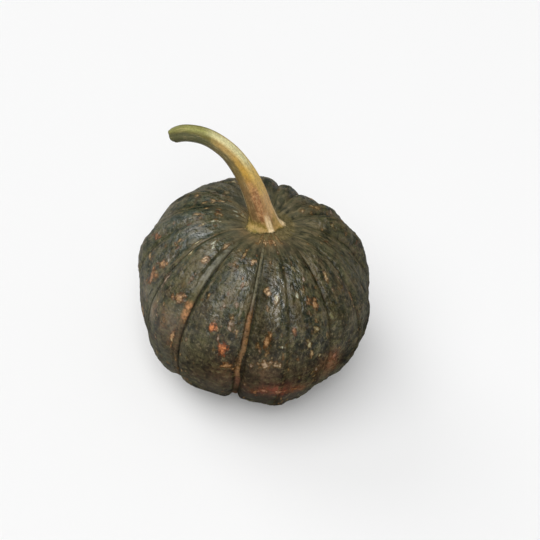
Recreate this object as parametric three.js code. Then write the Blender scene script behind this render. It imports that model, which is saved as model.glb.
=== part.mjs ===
// A kabocha squash as picked: one ribbed, slightly flattened fruit, and the curved stalk that it hung from.
// Millimetres, +Z up. The origin is on the fruit's axis, in the plane that it rests on, and -Y is its front.
import * as THREE from "three";

// ---- Driving dimensions of the fruit ----
const HALF_WIDTH = 90.6; // from the axis to the ribs at the widest level
const SHOULDER_HEIGHT = 75.5; // from the widest level up to where the top would be without its hollow
const BELLY_DEPTH = 70.0; // from the widest level down to where the base would be without its hollow
const SHOULDER_FULLNESS = 2.04; // superellipse exponents: 2 is an ellipse, and more is squarer
const BELLY_FULLNESS = 2.28;
const STEM_HOLLOW = { depth: 15.0, radius: 31.7 };
const BLOSSOM_HOLLOW = { depth: 4, radius: 24 };
const WIDEST_LEVEL = 66.2; // height of the widest level above the surface that the fruit rests on
const SEAT_RADIUS = 17; // the level patch in the hollow that the stalk's foot covers
const BUTTON_RADIUS = 6.5; // the corky scar left by the blossom, level with the surface it rests on

// The body is a little out of round: how far it stands out towards the front, the right (+X), and along the two
// diagonals of its second harmonic, in the upper and in the lower half.
const OUT_OF_ROUND = {
  upper: { right: -3.7, frontAndBack: 1.0, diagonal: 1.2 },
  lower: { right: 2.8, frontAndBack: 1.0, diagonal: -2.0 },
};

// ---- Furrows and ribs ----
// One row for each furrow, in order round the fruit: its longitude at the widest level (degrees from the front,
// towards +X), how many degrees it leans between there and the top, its depth in the upper and lower half, the
// degrees of level bank along its left side, and how far the rib on its right swells in the upper and lower half.
const FURROWS = [
  { at: 2.0, lean: 1.5, depth: [2.2, 6.2], bank: 3, swell: [0.5, -1.6] },
  { at: 21.0, lean: 0, depth: [0.9, 0.2], bank: 0, swell: [0.5, 0.0] },
  { at: 44.0, lean: -1, depth: [1.5, 6.2], bank: 0, swell: [0.6, -2.7] },
  { at: 64.0, lean: -6, depth: [1.6, 1.6], bank: 0, swell: [0.1, -3.2] },
  { at: 83.5, lean: -2, depth: [2.1, 0.9], bank: 0, swell: [-2.9, -3.4] },
  { at: 103.0, lean: 0, depth: [1.9, 1.7], bank: 0, swell: [5.4, -1.9] },
  { at: 127.0, lean: 0, depth: [3.0, 2.4], bank: 0, swell: [4.2, 0.7] },
  { at: 144.0, lean: 0, depth: [0.9, 1.0], bank: 0, swell: [0.3, 0.5] },
  { at: 161.5, lean: 0, depth: [3.7, 2.4], bank: 0, swell: [0.3, 0.5] },
  { at: 178.0, lean: 0, depth: [2.3, 2.0], bank: 0, swell: [1.6, 0.5] },
  { at: 199.0, lean: 0, depth: [2.0, 2.0], bank: 0, swell: [-0.8, 0.5] },
  { at: 221.5, lean: 0, depth: [3.4, 2.4], bank: 0, swell: [-1.9, 0.5] },
  { at: 248.5, lean: 0, depth: [0.9, 1.0], bank: 0, swell: [-3.9, 5.2] },
  { at: 271.0, lean: 2.5, depth: [3.1, 2.4], bank: 0, swell: [2.9, -3.0] },
  { at: 286.0, lean: 0, depth: [0.7, 4.1], bank: 0, swell: [-2.3, -2.4] },
  { at: 309.5, lean: 2.5, depth: [2.2, 0.8], bank: 7, swell: [0.8, 1.0] },
  { at: 331.0, lean: 0, depth: [2.6, 2.8], bank: 5, swell: [0.5, -2.6] },
];
const FURROW_REACH = 3; // degrees over which a furrow's side falls to a third of its depth
const RELIEF_STARTS = [8, 40]; // degrees from the top, between which the furrows grow from nothing
const RELIEF_FADES = { from: 130, to: 170, left: 0.4 }; // degrees from the top, and the share left at the base
const HALF_CHANGE = [55, 105]; // degrees from the top, between which upper values turn into lower ones

// Broad lumps and dents: longitude, degrees from the top, height, and the degrees over which each falls to a third
// of it, round the fruit and down it.
const LUMPS = [
  { at: 7, down: 119, height: -1.8, reach: [4, 8] },
  { at: 22, down: 119, height: 2.2, reach: [5.5, 8] },
  { at: 67, down: 84, height: 1.6, reach: [4.5, 8] },
  { at: 114, down: 36, height: 1.6, reach: [8, 8] },
  { at: 249, down: 26, height: -1.6, reach: [12, 7] },
  { at: 283, down: 50, height: -1.4, reach: [5, 8] },
];

// ---- Grid of the fruit's skin ----
const RIB_COLUMNS = [0, 0.09, 0.22, 0.38, 0.54, 0.7, 0.84, 0.93]; // shares of a rib, closer by its furrows
const ROW_STEP = 4.7; // degrees from row to row, from the seat to the base

// ---- Driving dimensions of the stalk ----
const STALK_GAP = 0.3; // clearance between the seat and the stalk's foot
// The stalk's centreline above the seat: sideways and up.
const STALK_LINE = [
  [-1.6, 0],
  [-3.9, 4.2],
  [-7.6, 11],
  [-14.1, 25.1],
  [-22.8, 39.2],
  [-35.6, 52.8],
  [-50.6, 60.1],
  [-63.7, 60.2],
  [-73.8, 56.4],
];
const STALK_RADII = [8.9, 8.6, 8.1, 7.4, 6.7, 6.0, 5.6, 5.4, 5.2]; // at even steps from foot to cut end
// How far each lobe of the foot spreads beyond the stalk, in order round it from the front left towards the right.
const FOOT_LOBES = [7.8, 1.6, 5.2, 4.0, 4.4];
const FIRST_LOBE = -40; // degrees from the front, towards +X
const LOBE_DIP = 1.2; // how far the foot draws in between two lobes
const FOOT_HEIGHT = 2.8; // height over which the spread falls to a third
const ANGLE_RIDGE = 0.06; // height of the angle that runs up from each lobe, as a share of the radius
const STALK_TWIST = 35; // degrees that the angles turn from foot to cut end
const CUT_SLANT = 30; // degrees that the cut end leans back under the stalk
const CUT_ROUNDING = 8; // length over which the upper side is worn round towards the cut
const CUT_SHRINK = 0.7; // share of the radius that is worn away at the end of it
const STALK_SIDES = 20;
const STALK_RINGS = 34;

const DEG = Math.PI / 180;

function smoothstep(from, to, x) {
  const u = Math.min(Math.max((x - from) / (to - from), 0), 1);
  return u * u * (3 - 2 * u);
}

// A closed surface from a pole through rings of equal length to another pole. Each ring runs anticlockwise as
// seen from the first pole's side.
function closedSkin(firstPole, rings, lastPole) {
  const around = rings[0].length;
  const points = [firstPole, ...rings.flat(), lastPole];
  const at = (ring, column) => 1 + ring * around + (column % around);
  const last = points.length - 1;
  const faces = [];
  for (let j = 0; j < around; j++) {
    faces.push(0, at(0, j), at(0, j + 1));
    for (let k = 0; k + 1 < rings.length; k++) {
      faces.push(at(k, j), at(k + 1, j), at(k + 1, j + 1));
      faces.push(at(k, j), at(k + 1, j + 1), at(k, j + 1));
    }
    faces.push(last, at(rings.length - 1, j + 1), at(rings.length - 1, j));
  }
  const geometry = new THREE.BufferGeometry().setFromPoints(points);
  geometry.setIndex(faces);
  geometry.computeVertexNormals();
  return geometry;
}

// The plain meridian, as distance from the axis and height over the widest level, t radians from the top.
function meridian(t) {
  const s = Math.sin(t);
  const c = Math.cos(t);
  if (c >= 0) {
    const r = HALF_WIDTH * s ** (2 / SHOULDER_FULLNESS);
    const hollow = STEM_HOLLOW.depth * Math.exp(-((r / STEM_HOLLOW.radius) ** 2));
    return new THREE.Vector2(r, SHOULDER_HEIGHT * c ** (2 / SHOULDER_FULLNESS) - hollow);
  }
  const r = HALF_WIDTH * s ** (2 / BELLY_FULLNESS);
  const hollow = BLOSSOM_HOLLOW.depth * Math.exp(-((r / BLOSSOM_HOLLOW.radius) ** 2));
  return new THREE.Vector2(r, -BELLY_DEPTH * (-c) ** (2 / BELLY_FULLNESS) + hollow);
}

// The angle from the top at which the plain meridian has distance r from the axis, in the upper or lower half.
function angleAtRadius(r, fullness) {
  return Math.asin((r / HALF_WIDTH) ** (fullness / 2));
}

// How far the skin stands off the plain surface, on the rib between furrows a and b, with lon in degrees.
function relief(a, b, aLon, bLon, lon, t) {
  const tDeg = t / DEG;
  const lower = smoothstep(HALF_CHANGE[0], HALF_CHANGE[1], tDeg);
  const mix = ([up, low]) => up * (1 - lower) + low * lower;
  const fade = 1 - (1 - RELIEF_FADES.left) * smoothstep(RELIEF_FADES.from, RELIEF_FADES.to, tDeg);
  const strength = smoothstep(RELIEF_STARTS[0], RELIEF_STARTS[1], tDeg) * fade;
  const fromA = lon - aLon;
  const fromB = Math.max(bLon - lon - b.bank, 0);
  const furrows = mix(a.depth) * Math.exp(-fromA / FURROW_REACH) + mix(b.depth) * Math.exp(-fromB / FURROW_REACH);
  const crown = mix(a.swell) * Math.sin((Math.PI * fromA) / (bLon - aLon));
  const lumps = LUMPS.reduce((sum, { at, down, height, reach }) => {
    const away = ((lon - at + 540) % 360) - 180;
    return sum + height * Math.exp(-((away / reach[0]) ** 2) - ((tDeg - down) / reach[1]) ** 2);
  }, 0);
  const wave = ({ right, frontAndBack, diagonal }) =>
    right * Math.sin(lon * DEG) + frontAndBack * Math.cos(2 * lon * DEG) + diagonal * Math.sin(2 * lon * DEG);
  const upperWave = wave(OUT_OF_ROUND.upper) * (1 - lower) * smoothstep(0, RELIEF_STARTS[1], tDeg);
  const lowerWave = wave(OUT_OF_ROUND.lower) * lower * fade;
  return (crown - furrows) * strength + lumps + upperWave + lowerWave;
}

function fruitRow(t) {
  const step = 1e-3;
  const [r, z] = meridian(t).toArray();
  const along = meridian(t + step).sub(meridian(t - step)).normalize();
  const row = [];
  FURROWS.forEach((a, i) => {
    const b = FURROWS[(i + 1) % FURROWS.length];
    const turn = i + 1 === FURROWS.length ? 360 : 0;
    const aLon = a.at - a.lean * Math.cos(t);
    const bLon = b.at + turn - b.lean * Math.cos(t);
    for (const share of RIB_COLUMNS) {
      const lon = aLon + (bLon - aLon) * share;
      const out = relief(a, b, aLon, bLon, lon, t);
      const radius = r - out * along.y;
      const height = Math.max(z + out * along.x + WIDEST_LEVEL, 0);
      row.push(new THREE.Vector3(radius * Math.sin(lon * DEG), -radius * Math.cos(lon * DEG), height));
    }
  });
  return row;
}

function fruitGeometry() {
  const seatAngle = angleAtRadius(SEAT_RADIUS, SHOULDER_FULLNESS);
  const buttonAngle = Math.PI - angleAtRadius(BUTTON_RADIUS, BELLY_FULLNESS);
  const rows = Math.round((buttonAngle - seatAngle) / DEG / ROW_STEP);
  const rings = [];
  for (let k = 0; k <= rows; k++) {
    rings.push(fruitRow(THREE.MathUtils.lerp(seatAngle, buttonAngle, k / rows)));
  }
  const seat = meridian(seatAngle).y + WIDEST_LEVEL;
  rings[0].forEach((p) => p.setZ(seat));
  rings[rows].forEach((p) => p.setZ(0));
  return closedSkin(new THREE.Vector3(0, 0, seat), rings, new THREE.Vector3(0, 0, 0));
}

function stalkRadius(share) {
  const x = share * (STALK_RADII.length - 1);
  const k = Math.min(Math.floor(x), STALK_RADII.length - 2);
  return THREE.MathUtils.lerp(STALK_RADII[k], STALK_RADII[k + 1], x - k);
}

// How far the foot spreads beyond the stalk, with angle in radians from its first lobe.
function footSpread(angle) {
  const count = FOOT_LOBES.length;
  const place = (((angle / (2 * Math.PI)) % 1) + 1) * count;
  const k = Math.floor(place);
  const share = (1 - Math.cos(Math.PI * (place - k))) / 2;
  const lobes = THREE.MathUtils.lerp(FOOT_LOBES[k % count], FOOT_LOBES[(k + 1) % count], share);
  return lobes - (LOBE_DIP * (1 - Math.cos(count * angle))) / 2;
}

function stalkGeometry(foot) {
  const line = new THREE.CatmullRomCurve3(STALK_LINE.map(([x, up]) => new THREE.Vector3(x, 0, foot + up)));
  const length = line.getLength();
  const up = new THREE.Vector3(0, 0, 1);
  const front = new THREE.Vector3(0, -1, 0);
  const rings = [];
  for (let k = 0; k < STALK_RINGS; k++) {
    const share = (1 - Math.cos((Math.PI * k) / (STALK_RINGS - 1))) / 2;
    const centre = line.getPointAt(share);
    const blend = smoothstep(0, 0.14, share);
    const tangent = up.clone().lerp(line.getTangentAt(share), blend).normalize();
    const side = new THREE.Vector3().crossVectors(front, tangent).normalize();
    const flare = Math.exp((-share * length) / FOOT_HEIGHT);
    const slant = Math.tan(CUT_SLANT * DEG) * smoothstep(0.93, 1, share);
    const fromCut = Math.max(1 - ((1 - share) * length) / CUT_ROUNDING, 0);
    const worn = CUT_SHRINK * (1 - Math.sqrt(1 - fromCut ** 2));
    const ring = [];
    for (let j = 0; j < STALK_SIDES; j++) {
      const angle = (j / STALK_SIDES) * 2 * Math.PI;
      const fromLobe = angle - (90 + FIRST_LOBE) * DEG;
      const corner = Math.cos(FOOT_LOBES.length * (fromLobe - STALK_TWIST * DEG * share));
      const whole = stalkRadius(share) * (1 + ANGLE_RIDGE * corner) + flare * footSpread(fromLobe);
      const radius = whole * (1 - worn * smoothstep(-0.5, 1, -Math.cos(angle)));
      const across = radius * Math.cos(angle);
      ring.push(
        centre
          .clone()
          .addScaledVector(side, across)
          .addScaledVector(front, radius * Math.sin(angle))
          .addScaledVector(tangent, -across * slant),
      );
    }
    rings.push(ring);
  }
  const footPole = new THREE.Vector3(0, 0, foot);
  return closedSkin(line.getPointAt(1), rings.reverse(), footPole);
}

function piece(name, geometry, color, roughness) {
  const mesh = new THREE.Mesh(geometry, new THREE.MeshStandardMaterial({ color, roughness, metalness: 0 }));
  mesh.name = name;
  return mesh;
}

const squash = new THREE.Group();
const seatLevel = meridian(angleAtRadius(SEAT_RADIUS, SHOULDER_FULLNESS)).y + WIDEST_LEVEL;
squash.add(piece("fruit", fruitGeometry(), 0x3f3e2e, 0.6));
squash.add(piece("stem", stalkGeometry(seatLevel + STALK_GAP), 0xa68f4e, 0.75));

export default squash;
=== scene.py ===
import math
from collections import namedtuple
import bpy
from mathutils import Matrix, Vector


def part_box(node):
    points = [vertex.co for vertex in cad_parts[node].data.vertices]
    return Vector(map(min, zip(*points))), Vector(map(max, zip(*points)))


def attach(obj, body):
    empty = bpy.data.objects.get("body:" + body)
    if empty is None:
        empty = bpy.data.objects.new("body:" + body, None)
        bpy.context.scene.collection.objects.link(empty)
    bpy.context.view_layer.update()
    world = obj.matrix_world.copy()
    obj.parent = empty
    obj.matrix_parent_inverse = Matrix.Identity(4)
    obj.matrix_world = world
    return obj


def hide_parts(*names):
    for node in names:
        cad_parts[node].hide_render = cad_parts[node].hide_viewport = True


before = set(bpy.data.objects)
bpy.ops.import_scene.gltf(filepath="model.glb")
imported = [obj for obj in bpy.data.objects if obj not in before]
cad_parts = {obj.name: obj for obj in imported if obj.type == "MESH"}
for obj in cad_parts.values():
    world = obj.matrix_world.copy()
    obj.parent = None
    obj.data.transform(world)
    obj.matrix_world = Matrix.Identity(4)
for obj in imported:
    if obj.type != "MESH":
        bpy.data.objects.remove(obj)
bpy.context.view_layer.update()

from types import SimpleNamespace

import bpy
import numpy as np
from mathutils import Matrix, Vector, noise

MM = 0.001
DEG = math.pi / 180
rng = np.random.RandomState(11)

# A kabocha squash on a pale floor: one ribbed fruit with a worn, blotched rind, and its curved stalk.
# Lengths are in millimetres and angles in degrees, unless a name says otherwise. Longitude runs from the
# front towards +X, and the angle from the top is the one that the plain meridian is drawn with.

# ---- fruit: driving dimensions, as in the CAD ----
HALF_WIDTH = 90.6
SHOULDER_HEIGHT = 75.5
BELLY_DEPTH = 70.0
SHOULDER_FULLNESS = 2.04
BELLY_FULLNESS = 2.28
# depth and radius of the hollows at the two ends
STEM_HOLLOW = (15.0, 31.7)
BLOSSOM_HOLLOW = (4.0, 24.0)
WIDEST_LEVEL = 66.2
SEAT_RADIUS = 17.0
BUTTON_RADIUS = 6.5
# How far each half is out of round: to the right, to front and back, and along the diagonals.
UPPER_WAVE = (-3.7, 1.0, 1.2)
LOWER_WAVE = (2.8, 1.0, -2.0)
# Angles from the top between which the upper half's values turn into the lower half's, the furrows grow
# from nothing, and they fade to RELIEF_LEFT of their depth.
HALF_CHANGE = (55, 105)
RELIEF_STARTS = (8, 40)
RELIEF_FADES = (130, 170)
RELIEF_LEFT = 0.4
# degrees over which a furrow's side falls to a third of its depth
FURROW_REACH = 3.0
# A furrow's longitude, lean and depths, the level bank on its left, how far the rib on its right swells,
# and how dark the painted shade in its crease is. All but the first furrow's lean and the darkness are the
# CAD's own values. All but the banks and the darkness come from a least-squares program, fitted to the
# photograph and rounded.
Furrow = namedtuple("Furrow", "at lean upper_depth lower_depth bank upper_swell lower_swell dark")
FURROWS = [
    Furrow(2.0, 0.2, 2.2, 6.2, 3, 0.5, -1.6, 0.6),
    Furrow(21.0, 0, 0.9, 0.2, 0, 0.5, 0, 0.35),
    Furrow(44.0, -1, 1.5, 6.2, 0, 0.6, -2.7, 0.5),
    Furrow(64.0, -6, 1.6, 1.6, 0, 0.1, -3.2, 0.6),
    Furrow(83.5, -2, 2.1, 0.9, 0, -2.9, -3.4, 0.5),
    Furrow(103.0, 0, 1.9, 1.7, 0, 5.4, -1.9, 0.5),
    Furrow(127.0, 0, 3.0, 2.4, 0, 4.2, 0.7, 0.6),
    Furrow(144.0, 0, 0.9, 1.0, 0, 0.3, 0.5, 0.4),
    Furrow(161.5, 0, 3.7, 2.4, 0, 0.3, 0.5, 0.6),
    Furrow(178.0, 0, 2.3, 2.0, 0, 1.6, 0.5, 0.5),
    Furrow(199.0, 0, 2.0, 2.0, 0, -0.8, 0.5, 0.5),
    Furrow(221.5, 0, 3.4, 2.4, 0, -1.9, 0.5, 0.6),
    Furrow(248.5, 0, 0.9, 1.0, 0, -3.9, 5.2, 0.4),
    Furrow(271.0, 2.5, 3.1, 2.4, 0, 2.9, -3.0, 0.8),
    Furrow(286.0, 0, 0.7, 4.1, 0, -2.3, -2.4, 0.1),
    Furrow(309.5, 2.5, 2.2, 0.8, 7, 0.8, 1.0, 0.7),
    Furrow(331.0, 0, 2.6, 2.8, 5, 0.5, -2.6, 1.0),
]
# Broad lumps and dents: longitude, angle from the top, height, and the degrees over which each falls to a
# third of it, round the fruit and down it.
LUMPS = [
    (7, 119, -1.8, 4, 8),
    (22, 119, 2.2, 5.5, 8),
    (67, 84, 1.6, 4.5, 8),
    (114, 36, 1.6, 8, 8),
    (249, 26, -1.6, 12, 7),
    (283, 50, -1.4, 5, 8),
]

# ---- stalk: driving dimensions, as in the CAD ----
# The centreline above the seat, sideways and up, and the radius at even steps along it. A program worked
# both out from edge points read off the photograph.
STALK_LINE = [
    (-1.6, 0),
    (-3.9, 4.2),
    (-7.6, 11.0),
    (-14.1, 25.1),
    (-22.8, 39.2),
    (-35.6, 52.8),
    (-50.6, 60.1),
    (-63.7, 60.2),
    (-73.8, 56.4),
]
STALK_RADII = [8.9, 8.6, 8.1, 7.4, 6.7, 6.0, 5.6, 5.4, 5.2]
# How far each lobe of the foot spreads, round it from the front left towards the right.
FOOT_LOBES = [7.8, 1.6, 5.2, 4.0, 4.4]
FIRST_LOBE = -40
LOBE_DIP = 1.2
FOOT_HEIGHT = 2.8
# height of the angle that runs up from each lobe, as a share of the radius
ANGLE_RIDGE = 0.06
STALK_TWIST = 35
CUT_SLANT = 30
CUT_ROUNDING = 8.0
# share of the radius that is worn away at the cut's upper edge
CUT_SHRINK = 0.7
# shares of the length over which the rings turn upright at the foot, and lean over to the slant of the cut
UPRIGHT_SHARE = 0.14
CUT_LEANS = (0.93, 1.0)
# The rings on the cut itself: scale, how far each is sunk, and how much pith shows.
CUT_RINGS = [(0.9, 0.0, 0.6), (0.78, 0.25, 1), (0.5, 0.5, 1), (0.2, 0.6, 1)]
# The fibres are noise read on a straight rod of this radius, with its length scaled down by this much.
FIBRE_RADIUS = 8
FIBRE_STRETCH = 0.12

# ---- grids ----
# The photograph shows the fruit to this longitude on either side, and there its columns stand closer.
SEEN_HALF_TURN = 112
SEEN_COLUMNS_PER_DEGREE = 1.5
UNSEEN_COLUMNS_PER_DEGREE = 0.8
# how much closer than even the columns stand by a furrow
COLUMN_CROWDING = 0.4
ROWS = 212
UNSEEN_FROM = 128
UNSEEN_ROW_SHARE = 0.5
MERIDIAN_STEPS = 4000
MERIDIAN_STEP = 1e-3
STALK_ROWS = 330
STALK_COLUMNS = 150
# how much closer than even the stalk's rings stand by its foot, as a power
STALK_CROWDING = 1.2
STALK_CURVE_STEPS = 60

# ---- fine shape of the rind ----
# height and size of each kind of unevenness, and a distance that keeps it unlike the others
BROAD_SWELLS = (0.7, 13, 3.1)
SMALL_SWELLS = (0.45, 6.5, 8.4)
WARTS = (0.6, 5.5, 5.2)
WRINKLES = (0.45, 3.4, 1.7)
# Angles from the top between which the skin turns uneven, and smoother again, and distances from a furrow.
UNEVEN_STARTS = (14, 30)
UNEVEN_FADES = (120, 160)
UNEVEN_FROM_FURROW = (0.5, 5)
CREASE_DEPTH = 1.1
# The crease at the bottom of a furrow, cut in and darkened with painted shade: the distance over which its
# right and left side end, and the angles from the top between which it starts.
CREASE_RIGHT = 1.0
CREASE_LEFT = 0.8
CREASE_STARTS = (14, 50)

# ---- painted shade and gloss of the rind ----
# The lower part of the rind has painted shade and less gloss: the angle from the top where that starts at
# the front, how much lower it starts on the left and on the right, and the angle over which it grows to full
# strength.
SHADE_FROM = 51
SHADE_LOWER_LEFT = 24
SHADE_LOWER_RIGHT = 18
SHADE_GROWTH = 34
# longitudes between which the front's value turns into the left side's and the right side's
SHADE_LEFT = (-14, -48)
SHADE_RIGHT = (30, 60)
# the share of gloss that is lost in strips, in the painted shade, in furrows and on the right side
STRIP_DULLS = 0.75
SHADE_DULLS = 0.88
FURROW_DULLS = 0.4
RIGHT_DULLS = 0.45

# ---- paint on the rind ----
# Each mark's longitude, angle from the top, length along the rib, width across it, and kind. The places were
# found in the photograph one by one or by a program, and a program turned them into angles, to half degrees.
MARKS = [
    (-15.5, 65, 6.5, 4.2, "bright"),
    (-8.5, 74, 9.5, 5.6, "bright"),
    (-60.5, 57.5, 6, 5.5, "orange"),
    (-61, 68, 13, 4.5, "clay"),
    (-62.5, 95, 9, 4, "peach"),
    (-36.5, 61, 7, 6.5, "orange"),
    (-33, 82.5, 14, 2.4, "orange"),
    (-11.5, 69, 5, 2.2, "pink"),
    (-5, 83.5, 5, 7, "orange"),
    (-38, 39, 7, 3.8, "peach"),
    (-35, 27.5, 6, 2, "peach"),
    (-66, 44.5, 5, 2.5, "tan"),
    (-50, 42, 4.5, 2.2, "cream"),
    (-37, 50, 5, 2, "pink"),
    (-49.5, 60, 10, 1.8, "pink"),
    (-52, 59, 8, 1.4, "pink"),
    (-6, 29, 4, 2.6, "peach"),
    (-15.5, 27.5, 8, 1.8, "tan"),
    (-44.5, 30.5, 7, 1.6, "white_and_glint"),
    (-41, 33, 4, 1.6, "white_and_glint"),
    (-56.5, 37, 6, 1.8, "cream"),
    (-71.5, 25, 6, 1.5, "white_and_glint"),
    (-70, 31, 5, 1.5, "cream"),
    (-79.5, 32, 5, 2, "tan"),
    (-80, 23, 5, 1.6, "tan"),
    (-78, 55, 4, 4, "rust"),
    (-71, 63.5, 2.5, 6, "tan"),
    (-107.5, 28.5, 5, 2.6, "tan"),
    (-109.5, 24.5, 4.5, 1.8, "tan"),
    (-110.5, 39, 4, 2, "tan"),
    (-142.5, 34, 6, 3, "cream"),
    (-100, 15.5, 7, 1.8, "white_and_glint"),
    (-98.5, 12, 6, 2.0, "cream"),
    (-90, 14, 6, 1.6, "white_and_glint"),
    (8, 43, 4, 4, "peach"),
    (13.5, 45, 4.5, 3.4, "cream"),
    (36, 50, 7, 4.5, "orange"),
    (33, 47, 5, 2, "orange"),
    (46, 59, 10, 4.2, "olive"),
    (65, 56, 7, 2.2, "orange"),
    (52, 40, 8, 1.8, "tan"),
    (62.5, 44, 4, 2, "pink"),
    (33, 37, 3, 2, "pink"),
    (28, 30.5, 3, 2.2, "cream"),
    (26.5, 44, 5, 2.4, "white_and_glint"),
    (23, 61, 6, 3, "rust"),
    (10, 66, 9, 4, "orange"),
    (11, 71.5, 6, 1.8, "tan"),
    (30.5, 69, 5.5, 2.6, "cream"),
    (31.5, 74.5, 7, 2.6, "tan"),
    (35, 62, 4, 3, "cream"),
    (17.5, 68.5, 1.8, 1.8, "white_and_glint"),
    # a painted pinkish highlight on the lower right lobe
    (11, 79, 5.5, 6.5, "pink_highlight"),
    (10.5, 78.5, 8, 3, "pink_highlight"),
    (15.5, 79, 3, 5, "pink_highlight"),
    (47, 85, 8, 4.5, "salmon"),
    (35.5, 86, 4, 3, "pink"),
    (9, 100, 5, 4, "rust"),
    (12.5, 97.5, 4.5, 7, "salmon"),
    (20, 98.5, 4, 6, "salmon"),
    (27, 97, 3.5, 5, "rust"),
    (131.5, 41.5, 5, 3.5, "pink"),
    (133.5, 29, 3, 2.5, "tan"),
    (98.5, 57.5, 8, 2.2, "olive"),
    (-8, 14.5, 10, 1.5, "tan"),
    (3, 14, 9, 1.7, "peach"),
    (10, 13, 9, 1.5, "orange"),
    (18, 13, 10, 1.6, "peach"),
    (30, 12, 8, 1.2, "tan"),
    (12, 11.5, 3, 4.5, "orange"),
    (-8.5, 57.5, 3, 1.8, "tan"),
    (-8, 62.5, 3.5, 2, "pink"),
    (-13.5, 53.5, 3, 2.2, "pink"),
    (-7, 51, 2.5, 2.2, "pink"),
]
# Soft washes of colour, placed as the marks are, with their strength last; the darkest are painted shade.
WASHES = [
    (16, 98.5, 13, 22, "blood", 0.8),
    (28, 97.5, 7, 12, "rust", 0.75),
    (8, 97.5, 7, 6, "rust", 0.4),
    (10.5, 87, 12, 14, "umber", 0.5),
    (6, 60, 44, 7, "painted_shade", 0.7),
    (46, 92, 18, 12, "clay", 0.35),
    (47, 85, 12, 7, "salmon", 0.4),
    (-39, 76, 14, 5, "clay", 0.45),
    (-6, 90, 12, 12, "clay", 0.25),
    (-47, 77, 13, 4, "clay", 0.4),
    (-33, 84, 15, 6, "clay", 0.45),
    (9.5, 84.5, 7, 8, "clay", 0.35),
    (10.5, 82.5, 17, 14, "pink_highlight", 0.22),
    (22, 78, 10, 10, "olive", 0.3),
    (60, 70, 30, 12, "umber", 0.25),
    (60, 48, 10, 6, "umber", 0.4),
    (-34, 79, 26, 14, "umber", 0.5),
    (-60, 82, 26, 10, "umber", 0.25),
    (85, 45, 34, 30, "ash_and_sheen", 0.35),
    (6, 14.5, 9, 20, "tan", 0.5),
    (-95, 11, 5, 12, "cream", 0.5),
    (-36, 99, 24, 24, "slate", 0.5),
    (-9, 98, 18, 30, "umber", 0.55),
    (46, 62, 22, 9, "olive", 0.3),
    (-41, 53, 9, 5, "olive", 0.4),
    (80, 40, 34, 14, "olive", 0.25),
    (25, 84, 18, 20, "umber", 0.3),
    (-5, 79, 10, 18, "umber", 0.3),
    (-58, 19, 14, 22, "ash_and_sheen", 0.45),
    (7, 92, 34, 14, "painted_shade", 0.6),
    (-2, 110, 16, 22, "painted_shade", 0.7),
    (14, 110, 12, 50, "painted_shade", 0.8),
    (6.5, 37, 30, 7, "painted_shade", 0.5),
    (-22, 40, 24, 7, "painted_shade", 0.4),
    (-23, 60, 14, 8, "painted_shade", 0.65),
    (28, 78, 14, 10, "painted_shade", 0.3),
    (24, 52, 14, 8, "painted_shade", 0.6),
    (10, 106, 9, 20, "painted_shade", 0.7),
    (-1, 71, 12, 3, "painted_shade", 0.5),
    (45, 91, 14, 12, "salmon", 0.35),
    (-18.5, 70, 12, 8, "olive", 0.4),
    (-25, 88, 12, 10, "ash_and_sheen", 0.3),
    (11, 62, 18, 9, "painted_shade", 0.4),
    (-4, 36, 12, 8, "ash_and_sheen", 0.5),
    (1, 38, 14, 4, "ash_and_sheen", 0.5),
    (53, 72, 20, 12, "painted_shade", 0.3),
    (-75, 36, 44, 60, "teal", 0.3),
    (41, 84.5, 12, 11, "clay", 0.4),
    (53, 64, 18, 11, "painted_shade", 0.45),
    (-21, 81, 14, 12, "olive", 0.5),
    (-137, 28, 16, 12, "ash_and_sheen", 0.5),
    (15, 104, 9, 16, "painted_shade", 0.6),
    (13, 73, 16, 9, "painted_shade", 0.5),
    (12.5, 60.5, 8, 8, "painted_shade", 0.5),
    (-8, 67, 11, 9, "painted_shade", 0.6),
    (-38, 14, 6, 12, "tan", 0.5),
    (-110, 12, 6, 10, "tan", 0.5),
]
# Where the rind is glossier, or duller, than round it: placed as the marks are, with the change last.
GLOSSY = [
    (-70, 40, 26, 22, 0.7),
    (-94, 36, 26, 36, -0.8),
    (-52, 33, 18, 18, 0.2),
    (-48, 42, 18, 18, -0.6),
    (-62, 38, 10, 10, -0.4),
    (-23, 37, 26, 16, -0.7),
    (-30, 54, 26, 16, -0.6),
    (-21, 50, 26, 12, -0.6),
    (-12, 47, 26, 12, -0.4),
    (-5, 36, 14, 11, 0.7),
    (-6, 56, 20, 18, -0.6),
    (-42, 41, 14, 12, -0.4),
    (-73, 26, 12, 20, -0.5),
    (-67, 34, 12, 16, 0.5),
    (-100, 44, 16, 20, -0.6),
    (-37, 53, 14, 10, -0.5),
    (-30.5, 46, 16, 8, 0.8),
    (-40, 44, 12, 10, -0.3),
    (11, 32, 10, 10, -0.6),
    (-60, 31, 8, 8, 0.5),
    (-67, 49, 12, 12, -0.5),
    (-72, 24, 10, 10, -0.4),
    (-11, 42, 12, 10, -0.1),
    (-2, 46, 12, 6, -0.4),
    (-29, 42, 12, 8, 0.5),
    (24, 51, 12, 8, -0.4),
    (-13, 36, 12, 10, 0.5),
    (-42, 62, 26, 18, -0.6),
    (16, 43, 26, 11, 1.3),
    (15, 39, 12, 9, 0.5),
    (5.5, 42, 34, 8, -0.9),
    (6, 57, 44, 10, -0.9),
    (11, 64, 24, 12, -0.8),
    (25, 47, 34, 8, -0.8),
    (35, 54, 16, 14, -0.4),
    (58, 43, 24, 16, 0.6),
    (53, 64, 20, 14, -0.6),
]
# The strip on the left bank of a furrow: angle from the top, near and far edge, kind, strength at each stop.
PLAIN_STRIP = [
    (12, 0, 1.6, "olive", 0.2),
    (40, 0, 2.4, "olive", 0.45),
    (75, 0, 2.2, "olive", 0.35),
    (100, 0, 2.4, "rust", 0.4),
]
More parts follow.
